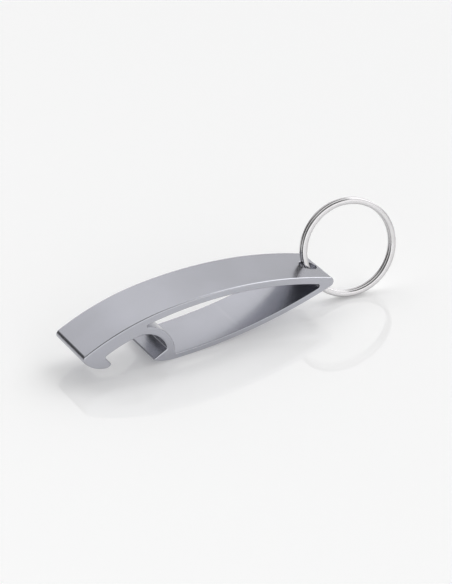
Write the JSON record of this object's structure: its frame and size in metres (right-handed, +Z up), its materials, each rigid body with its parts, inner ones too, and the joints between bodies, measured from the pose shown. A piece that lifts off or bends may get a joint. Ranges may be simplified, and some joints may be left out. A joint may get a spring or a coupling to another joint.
{
  "type": "keychain bottle opener",
  "caption": "Flat-sided metal bottle opener with a hooked mouth for crown caps, a long open slot in its handle and a split key ring hung through its pointed end.",
  "frame": {"origin": "on the table, midway between the two cut faces; the opener's lowest line, where it stands on its rounded belly, is 6.4 mm towards the ring end", "axes": "+X runs along the opener from the hook to the ring end, +Y runs across the extrusion from the near cut face to the far one, +Z is up from the table the opener stands on"},
  "size_m": [0.0894, 0.014, 0.0248],
  "materials": {
    "opener_body": "satin anodised, bead blasted",
    "split_ring": "polished nickel plate over spring steel"
  },
  "bodies": {
    "opener": {"opener_body": "opener_body"},
    "ring": {"split_ring": "split_ring"}
  },
  "joints": [
    {"name": "ring_swing", "type": "hinge", "parent": "opener", "child": "ring", "pos_m": [0.0462, 0, 0.008], "axis": [0, 0, 1], "range_deg": [-10, 90]}
  ]
}
